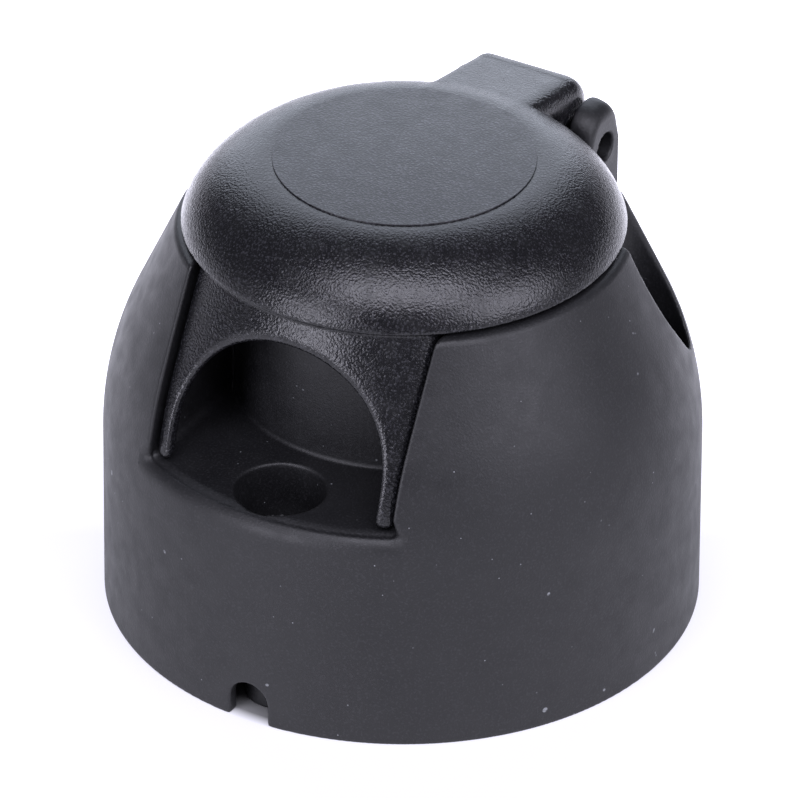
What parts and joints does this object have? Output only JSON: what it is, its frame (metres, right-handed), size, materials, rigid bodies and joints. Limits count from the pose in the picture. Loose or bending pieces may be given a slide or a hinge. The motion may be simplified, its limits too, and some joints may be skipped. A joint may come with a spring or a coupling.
{
  "type": "trailer wiring socket",
  "caption": "Bell-shaped plastic trailer socket with a sprung hinged lid over a round contact mouth, bolted down through three deep screw wells.",
  "frame": {"origin": "centre of the open foot, on the mounting plane", "axes": "+Z from the mounting plane towards the lid, +Y towards the hinge, -Y towards the drain notch"},
  "size_m": [0.082, 0.082, 0.0673],
  "materials": {
    "shell_plastic": "moulded, fine grain, satin",
    "lid_plastic": "moulded, coarse grain, semi-gloss",
    "insert_plastic": "moulded, smooth",
    "seal_rubber": "matt",
    "contact_brass": "turned",
    "pin_steel": "drawn",
    "spring_steel": "drawn wire",
    "screw_steel": "zinc plated"
  },
  "bodies": {
    "housing_body": {"housing": "shell_plastic", "contact_barrel": "shell_plastic", "recess_tray": "shell_plastic", "front_screw_well": "shell_plastic", "right_screw_well": "shell_plastic", "left_screw_well": "shell_plastic", "hinge_pin": "pin_steel", "lid_spring": "spring_steel", "contact_insert": "insert_plastic", "insert_gasket": "seal_rubber", "contact_01": "contact_brass", "contact_02": "contact_brass", "contact_03": "contact_brass", "contact_04": "contact_brass", "contact_05": "contact_brass", "contact_06": "contact_brass", "contact_07": "contact_brass", "contact_08": "contact_brass", "contact_09": "contact_brass", "contact_10": "contact_brass", "contact_11": "contact_brass", "contact_12": "contact_brass", "contact_13": "contact_brass", "terminal_screw_01": "screw_steel", "terminal_screw_02": "screw_steel", "terminal_screw_03": "screw_steel", "terminal_screw_04": "screw_steel", "terminal_screw_05": "screw_steel", "terminal_screw_06": "screw_steel", "terminal_screw_07": "screw_steel", "terminal_screw_08": "screw_steel", "terminal_screw_09": "screw_steel", "terminal_screw_10": "screw_steel", "terminal_screw_11": "screw_steel", "terminal_screw_12": "screw_steel", "terminal_screw_13": "screw_steel", "insert_screw_1": "screw_steel", "insert_screw_2": "screw_steel", "insert_screw_3": "screw_steel"},
    "lid_body": {"lid": "lid_plastic", "lid_seal": "seal_rubber"}
  },
  "joints": [
    {"name": "lid_hinge", "type": "hinge", "parent": "housing_body", "child": "lid_body", "pos_m": [0, 0.0341, 0.055], "axis": [-1, 0, 0], "range_deg": [0, 105], "stiffness_Nm_per_rad": 0.06, "springref_deg": -40.11, "deforming": ["lid_spring"]}
  ]
}
